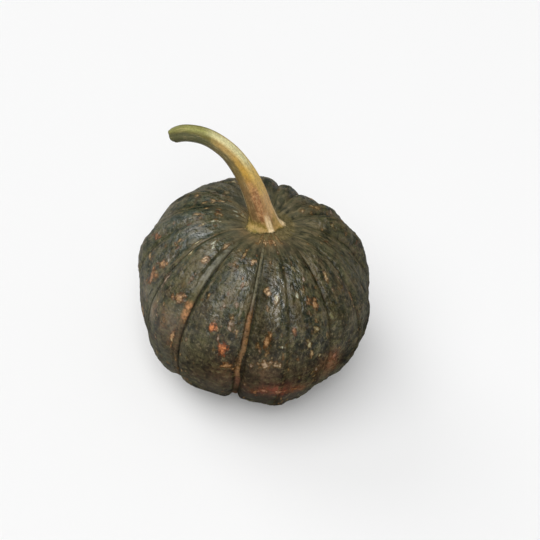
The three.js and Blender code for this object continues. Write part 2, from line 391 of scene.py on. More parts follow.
# The furrows, by their longitude, that have a strip of their own.
STRIPS = {
    2.0: [
        (10, 0, 1.2, "moss", 0.3),
        (24, 0, 2.2, "moss", 0.9),
        (44, 0, 2.6, "moss", 0.9),
        (51, 0, 3.2, "umber", 0.9),
        (55, 0, 4.0, "clay", 0.95),
        (72, 0, 4.2, "orange", 0.95),
        (78, 2.6, 5.6, "orange", 0.9),
        (88, 2.6, 5.8, "orange", 0.95),
        (94, 0.8, 4.6, "brick", 0.9),
        (106, 0, 4.6, "brick", 0.9),
    ],
    331.0: [
        (18, 0, 2.0, "ash_and_sheen", 0.2),
        (30, 0, 5.0, "ash_and_sheen", 0.75),
        (47, 0, 6.0, "ash_and_sheen", 0.75),
        (58, 0, 5.0, "olive", 0.6),
        (61, 0, 5.4, "glow", 1.0),
        (67, 0, 5.8, "glow", 0.95),
        (72, 0, 5.4, "umber", 0.7),
        (98, 0, 4.0, "umber", 0.6),
    ],
    309.5: [
        (20, 0, 1.4, "tan", 0.5),
        (35, 0, 1.6, "tan", 0.7),
        (45, 0, 2.4, "olive", 0.3),
        (62, 0, 5.0, "ash_and_sheen", 0.4),
        (74, 0, 7.0, "ash_and_sheen", 0.65),
        (90, 0, 6.0, "slate", 0.6),
    ],
}
# angles from the top between which all strips fade away
STRIPS_FADE = (150, 120)
# A patch of paint: the share of it that its core takes, the area for each fleck round that, how far the
# flecks stray, and the least length and width of one.
PATCH_CORE = 0.9
PATCH_AREA_PER_FLECK = 14
PATCH_SPREAD = 0.38
PATCH_FLECK_LEAST = (2.5, 1.5)
# about how long a degree of the angle from the top is on the rind
MM_PER_DEGREE_DOWN = 1.45
# Single flecks all over: their number, the angle from the top where they start, the angle that they cover,
# and how often each kind is drawn.
FLECKS = 560
FLECKS_FROM = 18
FLECKS_RANGE = 110
FLECK_KINDS = {"tan": 0.42, "orange": 0.05, "cream": 0.24, "pink": 0.12, "olive": 0.12, "rust": 0.05}
# Patches on the side that the photograph doesn't show.
UNSEEN_PATCHES = 34
UNSEEN_PATCH_KINDS = {"tan": 0.35, "orange": 0.3, "cream": 0.05, "pink": 0.15, "olive": 0.05, "rust": 0.1}


def smoothstep(low, high, x):
    """0 at low and 1 at high, with a smooth change between them; low may be the greater of the two."""
    u = np.clip((x - low) / (high - low), 0, 1)
    return u * u * (3 - 2 * u)


def wrapped(degrees):
    """The same angle, from -180 up to 180."""
    return (degrees + 180) % 360 - 180


def srgb(red, green, blue):
    """A colour named by its 0-255 screen values, as the linear values that Blender works in."""
    def linear(value):
        value /= 255
        return value / 12.92 if value <= 0.04045 else ((value + 0.055) / 1.055) ** 2.4
    return (linear(red), linear(green), linear(blue), 1.0)


PAINT = {
    "bright": srgb(176, 106, 62),
    "orange": srgb(148, 112, 76),
    "tan": srgb(150, 124, 86),
    "peach": srgb(172, 142, 108),
    "cream": srgb(160, 148, 114),
    # pale streaks, and painted glints
    "white_and_glint": srgb(158, 156, 136),
    "pink": srgb(136, 116, 98),
    "salmon": srgb(138, 96, 72),
    "rust": srgb(126, 84, 50),
    "moss": srgb(138, 132, 106),
    "olive": srgb(98, 92, 62),
    "teal": srgb(64, 82, 68),
    "umber": srgb(88, 70, 52),
    "blood": srgb(140, 68, 50),
    # a pale grey for strips, and for washes that are partly a painted sheen
    "ash_and_sheen": srgb(106, 102, 84),
    "slate": srgb(80, 78, 64),
    # a dark tone for washes of painted shade
    "painted_shade": srgb(40, 34, 22),
    # a painted pinkish highlight
    "pink_highlight": srgb(160, 136, 110),
    "clay": srgb(136, 96, 62),
    "glow": srgb(184, 134, 94),
    "brick": srgb(110, 72, 56),
}

# ---- camera and light ----
ELEVATION = 43.2
ROLL = 11.45
DISTANCE = 572.2
# the focal length, the frame's side and where the middle of the fruit shows, in the photograph's pixels
FOCAL_PX = 750.0
FRAME_PX = 540
BODY_CENTRE_PX = (255.1, 287.9)
SENSOR_WIDTH = 36.0
NEAREST = 10
FARTHEST = 10000
# Soft lights: name, azimuth from the front towards +X, elevation, spread across the sky, strength.
SUNS = [
    ("key", -40, 60, 60, 2.0),
    ("window", 5, 54, 30, 0.5),
    ("low_window", 5, 32, 30, 0.5),
    ("side", -118, 36, 35, 0.5),
    ("overhead", 0, 85, 60, 0.18),
]
SKY = (1, 1, 1, 1)
SKY_STRENGTH = 0.15
PAPER = (0.9, 0.9, 0.9, 1)
FLOOR_HALF_WIDTH = 3000
# how far the floor lies under the fruit, so that the two don't coincide
FLOOR_GAP = 0.2


def make_camera():
    elevation = ELEVATION * DEG
    roll = ROLL * DEG
    target = Vector((0, 0, WIDEST_LEVEL))
    forward = Vector((0, math.cos(elevation), -math.sin(elevation)))
    level_right = Vector((1, 0, 0))
    level_up = Vector((0, math.sin(elevation), math.cos(elevation)))
    right = level_right * math.cos(roll) + level_up * math.sin(roll)
    up = level_up * math.cos(roll) - level_right * math.sin(roll)
    place = target - forward * DISTANCE
    across = (FRAME_PX / 2 - BODY_CENTRE_PX[0]) / FOCAL_PX
    down = (FRAME_PX / 2 - BODY_CENTRE_PX[1]) / FOCAL_PX
    aim = (forward + right * across - up * down).normalized()
    side = aim.cross(up).normalized()
    data = bpy.data.cameras.new("camera")
    data.sensor_width = SENSOR_WIDTH
    data.lens = FOCAL_PX / FRAME_PX * SENSOR_WIDTH
    data.clip_start = NEAREST * MM
    data.clip_end = FARTHEST * MM
    camera = bpy.data.objects.new("camera", data)
    bpy.context.scene.collection.objects.link(camera)
    rotation = Matrix((side, side.cross(aim), -aim)).transposed()
    camera.matrix_world = Matrix.Translation(place * MM) @ rotation.to_4x4()
    bpy.context.scene.camera = camera


# ---- materials as calls ----
class Shader:
    """A material's node tree, built by calls that return output sockets."""

    def __init__(self, name):
        self.material = bpy.data.materials.new(name)
        self.material.use_nodes = True
        self.nodes = self.material.node_tree.nodes
        self.links = self.material.node_tree.links
        self.nodes.clear()

    def plug(self, value, socket):
        if isinstance(value, bpy.types.NodeSocket):
            self.links.new(value, socket)
        else:
            socket.default_value = value

    def node(self, kind, inputs=None, **settings):
        made = self.nodes.new(kind)
        for key, value in settings.items():
            setattr(made, key, value)
        for key, value in (inputs or {}).items():
            self.plug(value, made.inputs[key])
        return made

    def attribute(self, name, output="Fac"):
        return self.node("ShaderNodeAttribute", attribute_name=name).outputs[output]

    def place(self):
        """The point on the surface, in millimetres."""
        where = self.node("ShaderNodeTexCoord").outputs["Object"]
        scaled = self.node("ShaderNodeVectorMath", {0: where, "Scale": 1 / MM}, operation="SCALE")
        return scaled.outputs[0]

    def moved(self, vector, distance):
        """vector, moved so that noise read there is unlike noise read at vector."""
        shift = (distance, -distance, distance)
        return self.node("ShaderNodeVectorMath", {0: vector, 1: shift}, operation="ADD").outputs[0]

    def stretch(self, vector, around, along):
        scale = (around, around, along)
        return self.node("ShaderNodeVectorMath", {0: vector, 1: scale}, operation="MULTIPLY").outputs[0]

    def noise(self, vector, size, detail=2.0, roughness=0.5, distortion=0.0):
        """Smooth noise, about 0 to 1, with features about size apart."""
        values = {"Vector": vector, "Scale": 1 / size, "Detail": detail, "Roughness": roughness}
        values["Distortion"] = distortion
        return self.node("ShaderNodeTexNoise", values).outputs["Fac"]

    def math(self, operation, a, b):
        return self.node("ShaderNodeMath", {0: a, 1: b}, operation=operation).outputs[0]

    def add(self, a, b):
        return self.math("ADD", a, b)

    def times(self, a, b):
        return self.math("MULTIPLY", a, b)

    def swing(self, value, amount, middle=0.5):
        """How far value is from middle, times amount."""
        return self.times(self.add(value, -middle), amount)

    def band(self, value, low, high, to_low=0.0, to_high=1.0):
        """value mapped smoothly from low..high to to_low..to_high, and held outside."""
        values = {"Value": value, "From Min": low, "From Max": high, "To Min": to_low, "To Max": to_high}
        return self.node("ShaderNodeMapRange", values, interpolation_type="SMOOTHSTEP").outputs["Result"]

    def mix(self, factor, a, b, blend="MIX"):
        made = self.node("ShaderNodeMix", data_type="RGBA", blend_type=blend, clamp_factor=True)
        for index, value in ((0, factor), (6, a), (7, b)):
            self.plug(value, made.inputs[index])
        return made.outputs[2]

    def tinted(self, color, by):
        return self.mix(1.0, color, by, "MULTIPLY")

    def bump(self, height, distance):
        """The normal of a surface raised by height, where 1 stands for distance in millimetres."""
        values = {"Height": height, "Distance": distance * MM, "Strength": 1.0}
        return self.node("ShaderNodeBump", values).outputs["Normal"]

    def finish(self, **values):
        """The material, with a principled shader whose sockets have these values."""
        inputs = {key.replace("_", " "): value for key, value in values.items()}
        shader = self.node("ShaderNodeBsdfPrincipled", inputs)
        self.node("ShaderNodeOutputMaterial", {"Surface": shader.outputs[0]})
        return self.material


# ---- meshes ----
def skin(name, first, rings, last, attributes):
    """A closed, smooth mesh from one pole through rings to another, with attributes given for each ring."""
    rows, around = rings.shape[:2]
    points = np.concatenate([[first], rings.reshape(-1, 3), [last]]) * MM
    faces = [(0, 1 + j, 1 + (j + 1) % around) for j in range(around)]
    for k in range(rows - 1):
        a = 1 + k * around
        b = a + around
        faces += [(a + j, b + j, b + (j + 1) % around, a + (j + 1) % around) for j in range(around)]
    start = 1 + (rows - 1) * around
    end = len(points) - 1
    faces += [(end, start + (j + 1) % around, start + j) for j in range(around)]
    mesh = bpy.data.meshes.new(name)
    mesh.from_pydata(points.tolist(), [], faces)
    kinds = {1: ("FLOAT", "value"), 3: ("FLOAT_VECTOR", "vector"), 4: ("FLOAT_COLOR", "color")}
    for key, values in attributes.items():
        flat = values.reshape(rows * around, -1)
        first_pole = flat[:around].mean(0)
        last_pole = flat[-around:].mean(0)
        flat = np.concatenate([first_pole[None], flat, last_pole[None]])
        kind, field = kinds[flat.shape[1]]
        mesh.attributes.new(key, kind, "POINT").data.foreach_set(field, flat.astype(np.float32).ravel())
    mesh.polygons.foreach_set("use_smooth", [True] * len(mesh.polygons))
    mesh.update()
    made = bpy.data.objects.new(name, mesh)
    bpy.context.scene.collection.objects.link(made)
    return made


# ---- fruit: shape ----
def meridian(t):
    """The plain meridian t radians from the top: distance from the axis, height over the widest level."""
    s = np.sin(t)
    c = np.cos(t)
    upper = c >= 0
    fullness = np.where(upper, SHOULDER_FULLNESS, BELLY_FULLNESS)
    r = HALF_WIDTH * np.abs(s) ** (2 / fullness)
    height = np.where(upper, SHOULDER_HEIGHT, -BELLY_DEPTH) * np.abs(c) ** (2 / fullness)
    top = -STEM_HOLLOW[0] * np.exp(-((r / STEM_HOLLOW[1]) ** 2))
    base = BLOSSOM_HOLLOW[0] * np.exp(-((r / BLOSSOM_HOLLOW[1]) ** 2))
    return r, height + np.where(upper, top, base)


def angle_at_radius(r, fullness):
    """The angle in radians, from the nearer end, at which the plain meridian is r from the axis."""
    return math.asin((r / HALF_WIDTH) ** (fullness / 2))


class Fruit:
    """The fruit's grid: rows from the seat down to the base, and columns that follow the furrows."""

    def __init__(self):
        self.lay_rows()
        self.lower = smoothstep(*HALF_CHANGE, self.down)
        self.fade = 1 - (1 - RELIEF_LEFT) * smoothstep(*RELIEF_FADES, self.down)
        self.strength = smoothstep(*RELIEF_STARTS, self.down) * self.fade
        following = FURROWS[1:] + [FURROWS[0]._replace(at=FURROWS[0].at + 360)]
        ribs = [self.rib(a, b) for a, b in zip(FURROWS, following)]
        for key in ribs[0]:
            setattr(self, key, np.concatenate([rib[key] for rib in ribs], 1))
        self.lon_deg = self.lon / DEG
        self.add_lumps_and_waves()

    def lay_rows(self):
        """Rows at even steps along the meridian, further apart on the base, and the way out at each."""
        seat = angle_at_radius(SEAT_RADIUS, SHOULDER_FULLNESS)
        button = math.pi - angle_at_radius(BUTTON_RADIUS, BELLY_FULLNESS)
        fine = np.linspace(seat, button, MERIDIAN_STEPS)
        r, z = meridian(fine)
        arc = np.concatenate([[0], np.cumsum(np.hypot(np.diff(r), np.diff(z)))])
        share = np.where(fine / DEG < UNSEEN_FROM, 1.0, UNSEEN_ROW_SHARE)
        spent = np.concatenate([[0], np.cumsum(np.diff(arc) * share[1:])])
        self.t = np.interp(np.linspace(0, spent[-1], ROWS), spent, fine)
        self.arc = np.interp(self.t, fine, arc)[:, None]
        self.down = (self.t / DEG)[:, None]
        self.r, self.z = meridian(self.t)
        r0, z0 = meridian(self.t - MERIDIAN_STEP)
        r1, z1 = meridian(self.t + MERIDIAN_STEP)
        size = np.hypot(r1 - r0, z1 - z0)
        self.out_r = -(z1 - z0) / size
        self.out_z = (r1 - r0) / size

    def by_half(self, upper, lower):
        return upper * (1 - self.lower) + lower * self.lower

    def rib(self, a, b):
        """The rib from furrow a to furrow b: its columns, relief, creases and the strip by furrow b."""
        lean = np.cos(self.t)[:, None]
        a_lon = a.at - a.lean * lean
        b_lon = b.at - b.lean * lean
        middle = (a.at + b.at) / 2
        seen = abs(wrapped(middle)) < SEEN_HALF_TURN
        count = round((b.at - a.at) * (SEEN_COLUMNS_PER_DEGREE if seen else UNSEEN_COLUMNS_PER_DEGREE))
        x = np.arange(count) / count
        share = x - COLUMN_CROWDING * np.sin(2 * math.pi * x) / (2 * math.pi)
        lon = a_lon + (b_lon - a_lon) * share
        from_a = lon - a_lon
        from_b = b_lon - lon
        furrows = self.by_half(a.upper_depth, a.lower_depth) * np.exp(-from_a / FURROW_REACH)
        past_bank = np.maximum(from_b - b.bank, 0)
        furrows = furrows + self.by_half(b.upper_depth, b.lower_depth) * np.exp(-past_bank / FURROW_REACH)
        crown = self.by_half(a.upper_swell, a.lower_swell) * np.sin(math.pi * share)
        width = self.r[:, None] * DEG
        near_a = from_a * width
        near_b = from_b * width
        by_a = a.dark * np.exp(-((near_a / CREASE_RIGHT) ** 2))
        by_b = b.dark * np.exp(-((near_b / CREASE_LEFT) ** 2))
        return dict(
            lon=lon * DEG,
            out=(crown - furrows) * self.strength,
            crease=np.maximum(by_a, by_b) * smoothstep(*CREASE_STARTS, self.down),
            strip=self.strip(STRIPS.get(b.at % 360, PLAIN_STRIP), near_b),
            furrow=np.minimum(near_a, near_b),
        )

    def strip(self, stops, near):
        """The colour of the strip with these stops, with its strength as the fourth value."""
        at, inner, outer, kind, strength = zip(*stops)
        start = np.interp(self.down, at, inner)
        reach = np.interp(self.down, at, outer)
        gone = reach * 1.3 + 0.7
        full = reach * 0.7 - 0.5
        cover = np.interp(self.down, at, strength) * smoothstep(gone, full, near)
        cover = cover * smoothstep(start - 1, start, near) * smoothstep(*STRIPS_FADE, self.down)
        tones = np.array([PAINT[name] for name in kind])
        color = [np.interp(self.down, at, tones[:, channel]) + 0 * near for channel in range(3)]
        return np.stack(color + [cover], -1)

    def wave(self, amounts):
        right, front, diagonal = amounts
        return right * np.sin(self.lon) + front * np.cos(2 * self.lon) + diagonal * np.sin(2 * self.lon)

    def add_lumps_and_waves(self):
        for at, down, height, around, along in LUMPS:
            away = wrapped(self.lon_deg - at)
            lump = np.exp(-((away / around) ** 2) - ((self.down - down) / along) ** 2)
            self.out = self.out + height * lump
        upper = self.wave(UPPER_WAVE) * (1 - self.lower) * smoothstep(0, RELIEF_STARTS[1], self.down)
        self.out = self.out + upper
        self.out = self.out + self.wave(LOWER_WAVE) * self.lower * self.fade

    def points(self):
        r = self.r[:, None] + self.out * self.out_r[:, None]
        z = self.z[:, None] + self.out * self.out_z[:, None] + WIDEST_LEVEL
        return np.stack([r * np.sin(self.lon), -r * np.cos(self.lon), np.maximum(z, 0)], -1)

    def dab(self, at, down, length, width):
        """1 at the middle of a spot on the rind, falling off smoothly along and across the rib."""
        along = self.arc - np.interp(down * DEG, self.t, self.arc[:, 0])
        across = wrapped(self.lon_deg - at) * DEG * self.r[:, None]
        return np.exp(-((2 * along / length) ** 2) - (2 * across / width) ** 2)


def swells(points, size, offset):
    """Smooth noise at each point, about -1 to 1, with features about size apart."""
    shift = Vector((offset, offset * 0.7, -offset * 1.3))
    flat = points.reshape(-1, 3) / size
    return np.array([noise.noise(Vector(p) + shift) for p in flat]).reshape(points.shape[:2])


def warts(points, size, offset):
    """Rounded bumps in cells about size apart, 0 between them and up to 1 on their tops."""
    shift = Vector((offset, -offset, offset * 0.4))
    found = np.empty(points.shape[0] * points.shape[1])
    for k, p in enumerate(points.reshape(-1, 3) / size):
        distances, centres = noise.voronoi(Vector(p) + shift)
        keep = 0.5 + 0.5 * noise.cell(centres[0] * 3.7)
        found[k] = keep * max(0.0, 1 - (distances[0] / 0.6) ** 2)
    return found.reshape(points.shape[:2])


def roughen(g):
    """Cuts the creases into the fruit, and raises the uneven, warty skin between them."""
    plain = g.points()
    body = smoothstep(*UNEVEN_STARTS, g.down) * (1 - 0.5 * smoothstep(*UNEVEN_FADES, g.down))
    away = smoothstep(*UNEVEN_FROM_FURROW, g.furrow)
    g.out = g.out - CREASE_DEPTH * g.crease

    def add(layer, shape, where):
        height, size, offset = layer
        g.out = g.out + height * shape(plain, size, offset) * where

    add(BROAD_SWELLS, swells, body)
    add(SMALL_SWELLS, swells, body * (0.4 + 0.6 * away))
    add(WARTS, warts, body * away)
    add(WRINKLES, swells, body * away)


def rind_shade(g, turn):
    """How far each point lies in the painted shade of the lower part, with turn as its wrapped longitude."""
    start = SHADE_FROM + SHADE_LOWER_LEFT * smoothstep(*SHADE_LEFT, turn)
    start = start + SHADE_LOWER_RIGHT * smoothstep(*SHADE_RIGHT, turn)
    outer = (0.2 + 0.6 * smoothstep(15, 60, np.abs(turn))) * smoothstep(88, 108, g.down)
    return smoothstep(start, start + SHADE_GROWTH, g.down) * (1 - outer)


def rind_wax(g, turn, shade):
    """How glossy each point is, where 1 is the plain upper rind."""
    wax = (1 - STRIP_DULLS * g.strip[..., 3]) * (1 - SHADE_DULLS * shade)
    wax = wax * (1 - FURROW_DULLS + FURROW_DULLS * smoothstep(0, 4, g.furrow))
    wax = wax * (1 - RIGHT_DULLS * smoothstep(62, 40, np.abs(turn - 90)))
    for at, down, length, width, extra in GLOSSY:
        wax = wax * (1 + extra * g.dab(at, down, length, width))
    return wax


def make_fruit():
    g = Fruit()
    roughen(g)
    rings = g.points()
    seat = float(rings[0, :, 2].mean())
    rings[0, :, 2] = seat
    rings[-1, :, 2] = 0
    mark, mark_color = paint_marks(g)
    tint, tint_color = paint_tints(g)
    turn = wrapped(g.lon_deg)
    shade = rind_shade(g, turn)
    attributes = dict(
        mark=mark,
        mark_color=mark_color,
        tint=tint,
        tint_color=tint_color,
        wrap=np.stack([np.sin(g.lon), np.cos(g.lon), g.arc + 0 * g.lon], -1),
        crease=g.crease,
        down=g.down + 0 * g.lon,
        wax=rind_wax(g, turn, shade),
        shade=shade,
        strip=g.strip[..., 3],
    )
    fruit = skin("rind", (0, 0, seat), rings, (0, 0, 0), attributes)
    fruit.data.materials.append(rind_material())
    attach(fruit, "root")
    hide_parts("fruit")


# ---- fruit: paint ----
def pick(shares):
    """One of the kinds in shares, drawn as often as its share says."""
    return list(shares)[rng.choice(len(shares), p=list(shares.values()))]


def paint_marks(g):
    """How far inside a mark each point lies (over 0.5 is inside), and that mark's colour."""
    field = np.zeros(g.lon.shape)
    weight = np.full(g.lon.shape, 1e-4)
    color = np.zeros(g.lon.shape + (4,))

    def add(at, down, length, width, kind, strength=1.0):
        inside = strength * g.dab(at, down, length, width)
        np.maximum(field, inside, out=field)
        share = inside ** 2
        weight[...] += share
        color[...] += share[..., None] * np.array(PAINT[kind])

    def patch(at, down, length, width, kind):
        """One soft core with flecks around it, all drawn out along the rib."""
        add(at, down, length * PATCH_CORE, width * PATCH_CORE, kind)
        mm_per_degree = np.interp(down * DEG, g.t, g.r) * DEG
        for _ in range(int(3 + length * width / PATCH_AREA_PER_FLECK)):
            off = rng.normal(0, PATCH_SPREAD, 2)
            size = rng.uniform(0.25, 0.5)
            turn = off[0] * width / mm_per_degree
            fall = off[1] * length / MM_PER_DEGREE_DOWN
            fleck_length = max(length * size, PATCH_FLECK_LEAST[0])
            fleck_width = max(width * size, PATCH_FLECK_LEAST[1])
            add(at + turn, down + fall, fleck_length, fleck_width, kind, rng.uniform(0.7, 1))

    for mark in MARKS:
        patch(*mark)
    for _ in range(FLECKS):
        down = FLECKS_FROM + FLECKS_RANGE * rng.uniform() ** 0.8
        kind = pick(FLECK_KINDS)
        length = rng.uniform(1.8, 4.5)
        at = rng.uniform(-180, 180)
        width = length * rng.uniform(0.35, 0.8)
        add(at, down, length, width, kind, rng.uniform(0.5, 0.8))
    for _ in range(UNSEEN_PATCHES):
        size = rng.uniform(3, 9)
        kind = pick(UNSEEN_PATCH_KINDS)
        at = rng.uniform(SEEN_HALF_TURN, 360 - SEEN_HALF_TURN)
        patch(at, rng.uniform(35, 120), size * 1.5, size, kind)
    return field, color / weight[..., None]


def paint_tints(g):
    """The strength of the strips and washes, painted shade and sheen among them, at each point, and their
    colour.
    """
    cover = g.strip[..., 3]
    color = g.strip[..., :3] * cover[..., None]
    for at, down, length, width, kind, strength in WASHES:
        share = strength * np.sqrt(g.dab(at, down, length, width))
        color = color * (1 - share[..., None]) + np.array(PAINT[kind][:3]) * share[..., None]
        cover = cover * (1 - share) + share
    color = color / np.maximum(cover, 1e-4)[..., None]
    return cover, np.concatenate([color, np.ones(cover.shape + (1,))], -1)


# ---- fruit: rind ----
def rind_patterns(s):
    """The noises that the rind's colour and relief are made from, and where each kind of skin shows."""
    p = SimpleNamespace()
    place = s.place()
    wrap = s.attribute("wrap", "Vector")
    grain = s.stretch(wrap, 60, 0.25)
    p.wide = s.noise(place, 13, 2, 0.55)
    p.mottle = s.noise(s.moved(place, 50), 6, 3, 0.6)
    p.earthy = s.noise(s.moved(place, 90), 8, 3, 0.6)
    p.patchy = s.noise(s.moved(place, 170), 2.6, 2, 0.5)
    p.fine = s.noise(s.moved(place, 130), 1.6, 2, 0.6)
    p.streak = s.noise(grain, 2.4, 3, 0.6)
    p.speck = s.noise(s.moved(grain, 30), 1.1, 2, 0.5)
    p.shred = s.noise(grain, 4, 3, 0.6)
    p.spoke = s.noise(s.stretch(wrap, 8, 0.1), 1, 2, 0.5, 0.6)
    p.stripe = s.noise(s.stretch(wrap, 18, 0.055), 1, 2, 0.5, 0.6)
    p.crumple = s.noise(s.stretch(wrap, 20, 0.28), 1, 2, 0.5, 0.4)
    p.chip = s.noise(s.stretch(wrap, 42, 0.36), 1, 4, 0.65)
    p.down = s.attribute("down")
    p.strip = s.attribute("strip")
    bare = s.band(p.strip, 0.2, 0.8, 1, 0.3)
    p.near_stalk = s.band(p.down, 32, 14)
    p.open_skin = s.times(s.band(p.down, 14, 30), bare)
    p.ribbed = s.times(s.band(p.down, 76, 50), bare)
    ragged = s.add(s.swing(p.fine, 0.9), s.swing(p.speck, 0.7))
    p.mark = s.add(s.attribute("mark"), s.add(ragged, s.swing(p.patchy, 0.7, 0.52)))
    return p


def ground(s, p):
    """The rind's mottled greens, in broad paler and darker parts."""
    color = s.mix(s.band(p.mottle, 0.4, 0.6), srgb(28, 31, 15), srgb(69, 69, 42))
    color = s.mix(s.band(p.earthy, 0.5, 0.66, 0, 0.5), color, srgb(96, 76, 54))
    color = s.mix(s.band(p.earthy, 0.46, 0.34, 0, 0.4), color, srgb(48, 60, 44))
    color = s.mix(s.band(p.wide, 0.5, 0.68, 0, 0.5), color, srgb(98, 93, 63))
    return s.mix(s.band(p.wide, 0.48, 0.32, 0, 0.35), color, srgb(30, 32, 20))


def stripes(s, p, color):
    """Pale and dark stripes down the upper ribs, and fine streaks below the crown."""
    color = s.mix(s.times(p.ribbed, s.band(p.stripe, 0.5, 0.62, 0, 0.7)), color, srgb(104, 93, 67))
    color = s.mix(s.times(p.ribbed, s.band(p.stripe, 0.46, 0.36, 0, 0.7)), color, srgb(34, 39, 25))
    streaks = s.times(s.band(p.down, 16, 44), s.band(p.streak, 0.56, 0.76, 0, 0.5))
    return s.mix(streaks, color, srgb(106, 88, 54))


def crown(s, p, color):
    """The paler crown with its pale and dark spokes, and the corky collar round the stalk's foot."""
    color = s.mix(s.times(p.near_stalk, 0.6), color, srgb(90, 85, 64))
    color = s.mix(s.times(p.near_stalk, s.band(p.spoke, 0.53, 0.65, 0, 0.6)), color, srgb(130, 117, 86))
    color = s.mix(s.times(p.near_stalk, s.band(p.spoke, 0.47, 0.35, 0, 0.75)), color, srgb(38, 40, 28))
    collar = s.times(s.band(p.down, 13, 10.5), s.band(p.streak, 0.4, 0.6, 0.1, 0.55))
    return s.mix(collar, color, srgb(134, 118, 70))


def shade_and_crumples(s, p, color):
    """Painted shade on the lower part, then a painted highlight on the crests and painted shade in the gaps
    of the crumpled skin.
    """
    # painted shade: the lower part darker and browner, less so in the paler mottles
    uneven = s.band(s.add(p.mottle, s.times(p.chip, 0.5)), 0.68, 0.84, 1, 0.5)
    color = s.mix(s.times(s.attribute("shade"), uneven), color, s.tinted(color, srgb(100, 79, 52)))
    # painted highlight on the crests of the crumpled skin, and painted shade in its gaps
    crest_highlight = s.times(s.band(p.crumple, 0.5, 0.68), p.open_skin)
    color = s.mix(s.times(crest_highlight, s.band(p.fine, 0.4, 0.6, 0.1, 0.5)), color, srgb(118, 110, 79))
    gap_shade = s.times(s.band(p.crumple, 0.5, 0.32), p.open_skin)
    return s.mix(s.times(gap_shade, 0.45), color, srgb(20, 21, 13))


def strips_and_washes(s, p, color):
    """The strips and washes, ragged and torn at their edges, with lit and dim flecks in the strips."""
    ragged = s.times(s.band(p.shred, 0.3, 0.65, 0.6, 1.15), s.band(p.patchy, 0.34, 0.56, 0.5, 1))
    torn = s.band(s.add(p.strip, s.swing(p.fine, 1.3)), 0.2, 0.6, 0.25, 1)
    torn = s.math("MAXIMUM", torn, s.band(p.strip, 0.02, 0.12, 1, 0))
    cover = s.times(s.attribute("tint"), s.times(ragged, torn))
    color = s.mix(cover, color, s.attribute("tint_color", "Color"))
    lit = s.times(p.strip, s.band(p.fine, 0.5, 0.66, 0, 0.8))
    color = s.mix(lit, color, s.tinted(color, (1.4, 1.34, 1.25, 1)))
    dim = s.times(p.strip, s.band(s.add(p.patchy, s.times(p.fine, 0.5)), 0.74, 0.6, 0, 0.7))
    return s.mix(dim, color, s.tinted(color, (0.6, 0.58, 0.56, 1)))


def chips(s, p, color):
    """Pale and dark chips round the widest part."""
    where = s.times(s.times(s.band(p.down, 40, 60), s.band(p.down, 94, 76)), p.open_skin)
    color = s.mix(s.times(s.band(p.chip, 0.53, 0.7, 0, 0.8), where), color, srgb(112, 101, 76))
    return s.mix(s.times(s.band(p.chip, 0.48, 0.32, 0, 0.65), where), color, srgb(24, 25, 15))


def marks(s, p, color):
    """The marks and flecks, each with a worn rim and lighter, fleshy parts inside."""
    mark_color = s.attribute("mark_color", "Color")
    color = s.mix(s.band(p.mark, 0.1, 0.4, 0, 0.65), color, s.tinted(mark_color, srgb(156, 130, 80)))
    lit = s.tinted(mark_color, (1.3, 1.42, 1.4, 1))
    fleshy = s.mix(s.band(s.add(p.fine, s.times(p.speck, 0.5)), 0.68, 0.86, 0, 0.7), mark_color, lit)
    fleshy = s.mix(s.band(p.mark, 0.75, 1.15, 0, 0.5), fleshy, lit)
    return s.mix(s.band(p.mark, 0.34, 0.9, 0, 0.95), color, fleshy)


def creases_and_scar(s, p, color):
    """Painted shade in the creases, and the corky scar of the blossom in the middle of the base."""
    # painted shade in the creases
    color = s.mix(s.times(s.attribute("crease"), 0.85), color, srgb(22, 20, 12))
    scar = s.band(s.add(p.down, s.times(p.fine, 6)), 176, 180, 0, 0.8)
    return s.mix(scar, color, srgb(128, 108, 74))


def rind_relief(s, p):
    """The height of the rind's finest relief, as its bumps use it."""
    height = s.add(s.times(p.crumple, 1.3), s.add(s.times(p.patchy, 1.9), s.times(p.fine, 0.25)))
    height = s.times(p.open_skin, height)
    height = s.add(height, s.times(p.ribbed, s.times(p.stripe, 0.6)))
    height = s.add(height, s.times(p.streak, 0.3))
    height = s.add(height, s.times(p.mottle, 0.9))
    height = s.add(height, s.times(p.near_stalk, s.times(p.spoke, 0.5)))
    return s.add(height, s.band(p.mark, 0.4, 0.8, 0, 0.25))


def rind_material():
    s = Shader("rind")
    p = rind_patterns(s)
    color = ground(s, p)
    for layer in (stripes, crown, shade_and_crumples, strips_and_washes, chips, marks, creases_and_scar):
        color = layer(s, p, color)
    height = rind_relief(s, p)
    wax = s.times(s.attribute("wax"), s.band(p.wide, 0.34, 0.66, 0.7, 1.15))
    return s.finish(
        Base_Color=color,
        Roughness=0.6,
        Normal=s.bump(height, 0.85),
        Specular_IOR_Level=0.0,
        Coat_Weight=s.times(wax, 0.3),
        Coat_Roughness=0.28,
        Coat_IOR=2.6,
        Coat_Normal=s.bump(height, 0.62),
    )


